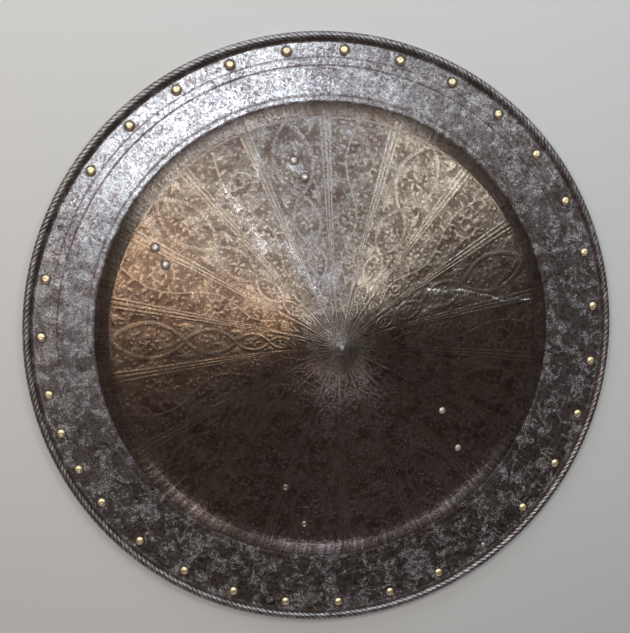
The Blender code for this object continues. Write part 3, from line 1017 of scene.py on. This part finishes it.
# %% Helpers for node networks
def add_node(tree, kind, inputs=None, **settings):
    """Add a shader node, set its options, and fill each input with a value or link it to an output."""
    node = tree.nodes.new("ShaderNode" + kind)
    for name, value in settings.items():
        setattr(node, name, value)
    for name, value in (inputs or {}).items():
        if isinstance(value, bpy.types.NodeSocket):
            tree.links.new(value, node.inputs[name])
        else:
            node.inputs[name].default_value = value
    return node


def calculate(tree, operation, first, second, clamp=False):
    """One sum on numbers."""
    return add_node(tree, "Math", {0: first, 1: second}, operation=operation, use_clamp=clamp).outputs[0]


def times(tree, first, second, clamp=False):
    """One number times another."""
    return calculate(tree, "MULTIPLY", first, second, clamp)


def plus(tree, first, second, clamp=False):
    """One number and another."""
    return calculate(tree, "ADD", first, second, clamp)


def minus(tree, first, second, clamp=False):
    """One number less another."""
    return calculate(tree, "SUBTRACT", first, second, clamp)


def blend_colours(tree, share, first, second):
    """Blend two colours by a share."""
    node = add_node(tree, "Mix", {"Factor": share}, data_type="RGBA", blend_type="MIX")
    for socket, colour in ((node.inputs[6], first), (node.inputs[7], second)):
        if isinstance(colour, bpy.types.NodeSocket):
            tree.links.new(colour, socket)
        else:
            socket.default_value = (*colour, 1.0)
    return node.outputs[2]


def spread(tree, value, low, high, new_low=0.0, new_high=1.0):
    """Stretch the part of a value between two limits over a new range, softly at the ends."""
    return add_node(tree, "MapRange", {"Value": value, "From Min": low, "From Max": high, "To Min": new_low,
                                       "To Max": new_high}, interpolation_type="SMOOTHSTEP").outputs["Result"]


def stored(tree, name):
    """A number that was stored on the points."""
    return add_node(tree, "Attribute", attribute_name=name).outputs["Fac"]


def raise_bump(tree, shader, height, strength, distance):
    """Let the light see a height that is too fine to model."""
    bump = add_node(tree, "Bump", {"Height": height, "Strength": strength, "Distance": distance})
    tree.links.new(bump.outputs[0], shader.inputs["Normal"])


def new_material(name):
    """An empty material, its tree and its shader."""
    material = bpy.data.materials.new(name)
    material.use_nodes = True
    return material, material.node_tree, material.node_tree.nodes["Principled BSDF"]


def new_group(name, inputs, outputs):
    """Open a node group with number inputs and outputs."""
    tree = bpy.data.node_groups.new(name, "ShaderNodeTree")
    for label, value in inputs.items():
        socket = tree.interface.new_socket(label, in_out="INPUT", socket_type="NodeSocketFloat")
        socket.default_value = value
    for label in outputs:
        tree.interface.new_socket(label, in_out="OUTPUT", socket_type="NodeSocketFloat")
    start = tree.nodes.new("NodeGroupInput")
    end = tree.nodes.new("NodeGroupOutput")
    return tree, start, end


def use_group(tree, group, inputs=None):
    """Place a group in a material with its own values."""
    node = tree.nodes.new("ShaderNodeGroup")
    node.node_tree = group
    for name, value in (inputs or {}).items():
        if isinstance(value, bpy.types.NodeSocket):
            tree.links.new(value, node.inputs[name])
        else:
            node.inputs[name].default_value = value
    return node


print("node helpers ready")

# %% [markdown]
# ## Mottling, scratches and pits
#
# Old iron is never one colour. Three effects are made once, for the materials below to share. Mottling mixes
# noise of two sizes, as patches of oxide grow and join. Scratches are noise stretched until it becomes lines,
# in several directions. Pits are small cells of which only a few go deep.

# %% Build the shared effects
mottle, start, end = new_group("mottling", {"Size": 0.02, "Detail": 0.6}, ("Patches", "Grain"))
place = add_node(mottle, "TexCoord").outputs["Object"]
scale = calculate(mottle, "DIVIDE", 1.0, start.outputs["Size"])
patches = add_node(mottle, "TexNoise", {"Vector": place, "Scale": scale, "Detail": 6.0,
                                        "Roughness": start.outputs["Detail"], "Distortion": 0.6})
fine_scale = times(mottle, scale, 4.5)
grain = add_node(mottle, "TexNoise", {"Vector": place, "Scale": fine_scale, "Detail": 4.0, "Roughness": 0.65})
mottle.links.new(spread(mottle, patches.outputs[0], 0.30, 0.70), end.inputs["Patches"])
mottle.links.new(spread(mottle, grain.outputs[0], 0.30, 0.70), end.inputs["Grain"])

scratches, start, end = new_group("scratches", {"Width": 0.5}, ("Lines",))
place = add_node(scratches, "TexCoord").outputs["Object"]
lines = None
for turn, length, thin, seed in ((0.4, 6.0, 900.0, 0.0), (1.5, 9.0, 1300.0, 3.0), (2.5, 7.0, 1000.0, 7.0)):
    turned = add_node(scratches, "Mapping", {"Vector": place, "Location": (seed, seed, 0.0),
                                             "Rotation": (0.0, 0.0, turn), "Scale": (length, thin, 40.0)})
    noise = add_node(scratches, "TexNoise", {"Vector": turned.outputs[0], "Scale": 1.0, "Detail": 2.0,
                                             "Distortion": 0.15})
    line = spread(scratches, noise.outputs[0], 0.66, 0.74)
    lines = line if lines is None else calculate(scratches, "MAXIMUM", lines, line)
strength = times(scratches, lines, start.outputs["Width"], clamp=True)
scratches.links.new(strength, end.inputs["Lines"])

pits, start, end = new_group("pits", {"Size": 0.003, "Share": 0.3}, ("Depth",))
place = add_node(pits, "TexCoord").outputs["Object"]
scale = calculate(pits, "DIVIDE", 1.0, start.outputs["Size"])
cells = add_node(pits, "TexVoronoi", {"Vector": place, "Scale": scale, "Randomness": 1.0})
hollow = spread(pits, cells.outputs["Distance"], 0.0, 0.45, 1.0, 0.0)
wide_scale = times(pits, scale, 0.12)
chosen = add_node(pits, "TexNoise", {"Vector": place, "Scale": wide_scale, "Detail": 3.0})
limit = minus(pits, 0.75, times(pits, start.outputs["Share"], 0.5))
deep = calculate(pits, "GREATER_THAN", chosen.outputs[0], limit)
pits.links.new(times(pits, hollow, deep), end.inputs["Depth"])
print("groups:", [group.name for group in (mottle, scratches, pits)])

# %% [markdown]
# ## Old steel
#
# The steel is brown-black where oxide has settled and grey where hands and cloths have kept it bright. The
# standing parts of the etching catch the rubbing, so the stored metal value lifts the brightness, and the
# sunk ground stays dark and rough. Three finer layers lie over that: pale specks that gather in clusters, as
# on the brim, brown rust that thins towards the upper left, and the stored polish and grime, which carry
# painted highlights and painted shade as well as wear and dirt.

# %% Make the steel
SPECK_COLOUR = (0.74, 0.72, 0.73)
# Dark of dirt, and of the painted shade in creases and at the empty hole.
GRIME_AND_SHADE_COLOUR = (0.026, 0.016, 0.011)
PIT_COLOUR = (0.035, 0.022, 0.018)


def make_steel(name, oxide, patina, bright, rubbing, speck, rough, frost, rust, rust_size):
    """Brown-black oxide over worn grey steel, with specks of frost and patches of rust."""
    material, tree, shader = new_material(name)
    large = use_group(tree, mottle, {"Size": 0.045, "Detail": 0.66})
    small = use_group(tree, mottle, {"Size": speck, "Detail": 0.72})
    pitted = use_group(tree, pits, {"Size": 0.0020, "Share": 0.55})
    lines = use_group(tree, scratches, {"Width": 0.8})
    metal = stored(tree, "metal")
    polish_and_sheen = stored(tree, "polish_and_sheen")
    grime_and_shade = stored(tree, "grime_and_shade")
    rust_by_side = stored(tree, "rust_by_side")
    skin = blend_colours(tree, large.outputs["Patches"], oxide, patina)
    rubbed = plus(tree, times(tree, metal, rubbing),
                       times(tree, small.outputs["Patches"], 0.42))
    rubbed = plus(tree, rubbed, times(tree, large.outputs["Patches"], 0.12))
    rubbed = plus(tree, rubbed, times(tree, small.outputs["Grain"], 0.34))
    worn = spread(tree, rubbed, 0.22 + 0.5 * rubbing, 0.70 + 0.5 * rubbing)
    flecks = use_group(tree, mottle, {"Size": 0.0036, "Detail": 0.85})
    broken = plus(tree, times(tree, flecks.outputs["Grain"], 0.55),
                       times(tree, flecks.outputs["Patches"], 0.45))
    # The stored polish carries painted highlights as well as wear, so these pale specks paint sheen too.
    polish_and_sheen_specks = spread(tree, plus(tree, broken, times(tree, polish_and_sheen, 0.55)), 0.86, 1.20)
    rust_patches = use_group(tree, mottle, {"Size": rust_size, "Detail": 0.75})
    rusty = times(tree, spread(tree, rust_patches.outputs["Patches"], 0.42, 0.78), rust)
    clusters = use_group(tree, mottle, {"Size": 0.013, "Detail": 0.75})
    gathered = spread(tree, clusters.outputs["Patches"], 0.42, 0.74)
    frosted = times(tree, spread(tree, broken, 0.54, 0.61), gathered)
    frosted = times(tree, frosted, frost)
    worn = calculate(tree, "MAXIMUM", worn, polish_and_sheen_specks)
    worn = calculate(tree, "MAXIMUM", worn, times(tree, lines.outputs["Lines"], 0.5))
    # The stored grime darkens dirt and painted shade alike.
    worn = times(tree, worn, minus(tree, 1.0, grime_and_shade))
    worn = times(tree, worn, minus(tree, 1.0, times(tree, rusty, rust_by_side)))
    colour = blend_colours(tree, worn, skin, bright)
    colour = blend_colours(tree, calculate(tree, "MAXIMUM", polish_and_sheen_specks, frosted), colour, SPECK_COLOUR)
    colour = blend_colours(tree, times(tree, grime_and_shade, 0.85), colour, GRIME_AND_SHADE_COLOUR)
    colour = blend_colours(tree, times(tree, pitted.outputs["Depth"], 0.6), colour, PIT_COLOUR)
    tree.links.new(colour, shader.inputs["Base Color"])
    dull = spread(tree, worn, 0.0, 1.0, rough + 0.07, rough - 0.04)
    dull = plus(tree, dull, times(tree, small.outputs["Grain"], 0.05))
    dull = plus(tree, dull, times(tree, grime_and_shade, 0.2), clamp=True)
    tree.links.new(dull, shader.inputs["Roughness"])
    hidden = plus(tree, times(tree, frosted, 0.34),
                       times(tree, grime_and_shade, 0.45))
    tree.links.new(minus(tree, 0.92, hidden, clamp=True), shader.inputs["Metallic"])
    height = plus(tree, times(tree, small.outputs["Patches"], 0.5),
                       times(tree, small.outputs["Grain"], 0.35))
    height = minus(tree, height, times(tree, pitted.outputs["Depth"], 0.8))
    height = minus(tree, height, times(tree, lines.outputs["Lines"], 0.3))
    raise_bump(tree, shader, height, 1.0, 0.00007)
    return material


dome_steel = make_steel(
    "etched_steel", oxide=(0.072, 0.043, 0.032), patina=(0.122, 0.084, 0.061), bright=(0.305, 0.262, 0.220),
    rubbing=0.34, speck=0.0022, rough=0.27, frost=0.15, rust=0.25, rust_size=0.0070)
edge_steel = make_steel(
    "roped_steel", oxide=(0.042, 0.027, 0.022), patina=(0.095, 0.066, 0.058), bright=(0.380, 0.360, 0.360),
    rubbing=0.30, speck=0.0030, rough=0.36, frost=0.6, rust=0.40, rust_size=0.0050)
brim_steel = make_steel(
    "worn_steel", oxide=(0.056, 0.022, 0.013), patina=(0.098, 0.046, 0.033), bright=(0.390, 0.385, 0.400),
    rubbing=0.10, speck=0.0026, rough=0.27, frost=1.0, rust=0.75, rust_size=0.0046)
for piece in plate_pieces:
    piece.data.materials.clear()
    if piece.name.startswith("dome"):
        piece.data.materials.append(dome_steel)
    else:
        piece.data.materials.append(edge_steel if piece is roped_edge else brim_steel)
print("steel on", len(plate_pieces), "pieces")

# %% [markdown]
# ## Brass, iron and leather
#
# Brass stays yellow on the rounded top and goes brown where the cap meets the plate. Height above the brim
# tells the two apart, so the material reads it from the object's own coordinates.

# %% Make the brass
brass, tree, shader = new_material("rubbed_brass")
place = add_node(tree, "TexCoord").outputs["Object"]
height = add_node(tree, "SeparateXYZ", {"Vector": place}).outputs["Z"]
top = spread(tree, height, BRIM_HEIGHT + 0.0004, BRIM_HEIGHT + 0.0015)
spots = use_group(tree, mottle, {"Size": 0.0030, "Detail": 0.6})
clean = times(tree, top, spread(tree, spots.outputs["Patches"], 0.0, 0.6, 0.55, 1.0))
colour = blend_colours(tree, clean, (0.20, 0.115, 0.035), (0.93, 0.80, 0.52))
tree.links.new(colour, shader.inputs["Base Color"])
tree.links.new(spread(tree, clean, 0.0, 1.0, 0.60, 0.44), shader.inputs["Roughness"])
shader.inputs["Metallic"].default_value = 1.0
raise_bump(tree, shader, spots.outputs["Grain"], 0.25, 0.0001)
for piece in brass_pieces:
    piece.data.materials.append(brass)
print("brass on", len(brass_pieces), "caps")

# %% Make the iron
def make_iron(name, dark, light):
    """Old iron heads: pitted, and mottled from brown to pale."""
    material, tree, shader = new_material(name)
    spots = use_group(tree, mottle, {"Size": 0.0028, "Detail": 0.65})
    pitted = use_group(tree, pits, {"Size": 0.0011, "Share": 0.7})
    worn = spread(tree, spots.outputs["Patches"], 0.25, 0.85)
    tree.links.new(blend_colours(tree, worn, dark, light), shader.inputs["Base Color"])
    tree.links.new(spread(tree, worn, 0.0, 1.0, 0.56, 0.42), shader.inputs["Roughness"])
    shader.inputs["Metallic"].default_value = 0.66
    height = minus(tree, spots.outputs["Grain"], pitted.outputs["Depth"])
    raise_bump(tree, shader, height, 0.4, 0.00012)
    return material


pale_iron = make_iron("rubbed_iron", (0.50, 0.42, 0.38), (0.84, 0.80, 0.78))
brown_iron = make_iron("brown_iron", (0.16, 0.10, 0.08), (0.42, 0.36, 0.32))
for number, piece in enumerate(iron_pieces):
    piece.data.materials.append(brown_iron if number in HOLLOW_NUMBERS else pale_iron)
print("iron on", len(iron_pieces), "rivets")

# %% Make the leather and the thread
def make_leather(name, dark, light, crack_size):
    """Dry leather: a cracked grain, with paler rubbed edges."""
    material, tree, shader = new_material(name)
    place = add_node(tree, "TexCoord").outputs["Object"]
    spots = use_group(tree, mottle, {"Size": 0.014, "Detail": 0.6})
    cracks = add_node(tree, "TexVoronoi", {"Vector": place, "Scale": 1.0 / crack_size},
                      feature="DISTANCE_TO_EDGE")
    crack = spread(tree, cracks.outputs["Distance"], 0.0, 0.10, 1.0, 0.0)
    edge = stored(tree, "edge")
    rubbed = times(tree, spread(tree, edge, 0.88, 1.0), 0.5)
    rubbed = plus(tree, rubbed, times(tree, spots.outputs["Patches"], 0.6), clamp=True)
    colour = blend_colours(tree, rubbed, dark, light)
    colour = blend_colours(tree, times(tree, crack, 0.55), colour, (0.018, 0.010, 0.007))
    tree.links.new(colour, shader.inputs["Base Color"])
    tree.links.new(spread(tree, rubbed, 0.0, 1.0, 0.78, 0.52), shader.inputs["Roughness"])
    height = minus(tree, times(tree, spots.outputs["Grain"], 0.4), crack)
    raise_bump(tree, shader, height, 0.5, 0.00025)
    return material


leather = make_leather("dry_leather", (0.060, 0.028, 0.015), (0.170, 0.085, 0.045), 0.0024)
thread = make_leather("waxed_thread", (0.22, 0.16, 0.10), (0.42, 0.33, 0.22), 0.0008)
for piece in leather_pieces:
    piece.data.materials.append(leather)
for piece in stitch_pieces:
    piece.data.materials.append(thread)
print("leather on", len(leather_pieces), "straps")

# %% [markdown]
# ## Floor and light
#
# A plain pale floor lies under the rolled edge. Eleven soft round lamps light the sectors of the dome one by
# one as it curves away. Five hang high: cool ones above and beyond, a warm one at the left. Three low ones
# beyond graze the tip and the far shoulder, and three faint ones in front draw the near shoulder. The room
# adds a little warm light from all round, and only the camera sees the pale backdrop behind the floor.

# %% Lay the floor and hang the lights
FLOOR_HALF = 1.3
floor_shape = bmesh.new()
bmesh.ops.create_grid(floor_shape, x_segments=2, y_segments=2, size=FLOOR_HALF)
floor = finished_mesh("floor", floor_shape)
floor.location.z = -0.0003
floor_material, _, shader = new_material("pale_floor")
shader.inputs["Base Color"].default_value = (0.62, 0.61, 0.59, 1.0)
shader.inputs["Roughness"].default_value = 0.85
floor.data.materials.append(floor_material)


def hang_light(name, place, size, power, colour):
    """A round soft lamp that looks at the middle of the shield."""
    data = bpy.data.lights.new(name, "AREA")
    data.shape = "DISK"
    data.size = size
    data.energy = power
    data.color = colour
    lamp = bpy.data.objects.new(name, data)
    lamp.location = place
    lamp.rotation_mode = "QUATERNION"
    lamp.rotation_quaternion = (-Vector(place)).to_track_quat("-Z", "Y")
    bpy.context.scene.collection.objects.link(lamp)


LIGHTS = (
    ("lamp_above", (-0.09, 0.36, 1.45), 0.30, 6.1, (0.83, 0.93, 1.0)),
    ("lamp_upper_left", (-0.69, 0.67, 1.15), 0.30, 2.8, (1.0, 0.95, 0.86)),
    ("lamp_left", (-0.91, 0.23, 1.17), 0.35, 3.0, (1.0, 0.72, 0.50)),
    ("lamp_upper_right", (0.82, 0.72, 1.03), 0.50, 4.2, (0.95, 1.0, 0.96)),
    ("lamp_far", (0.13, 1.01, 1.10), 0.40, 2.8, (0.66, 0.78, 1.0)),
    ("lamp_low_right", (0.61, 1.28, 0.48), 0.60, 2.3, (0.98, 1.0, 1.0)),
    ("lamp_low_far", (-0.30, 1.39, 0.49), 0.60, 4.2, (0.82, 0.89, 1.0)),
    ("lamp_low_left", (-0.96, 1.02, 0.53), 0.60, 3.3, (0.95, 0.98, 1.0)),
    ("lamp_near_left", (-0.72, -1.26, 0.38), 0.60, 0.9, (1.0, 0.90, 0.88)),
    ("lamp_near", (0.12, -1.44, 0.38), 0.60, 1.2, (0.88, 0.86, 1.0)),
    ("lamp_near_right", (0.86, -1.17, 0.38), 0.60, 0.7, (0.86, 0.88, 0.94)),
)
for light in LIGHTS:
    hang_light(*light)
world = bpy.data.worlds.new("studio")
world.use_nodes = True
tree = world.node_tree
room = tree.nodes["Background"]
room.inputs["Color"].default_value = (1.0, 0.52, 0.34, 1.0)
room.inputs["Strength"].default_value = 0.034
backdrop = add_node(tree, "Background", {"Color": (0.60, 0.59, 0.57, 1.0), "Strength": 1.0})
seen = add_node(tree, "LightPath").outputs["Is Camera Ray"]
mixed = add_node(tree, "MixShader", {0: seen, 1: room.outputs[0], 2: backdrop.outputs[0]})
tree.links.new(mixed.outputs[0], tree.nodes["World Output"].inputs["Surface"])
bpy.context.scene.world = world
bpy.context.scene.view_settings.view_transform = "Standard"
print("lights:", len(LIGHTS))
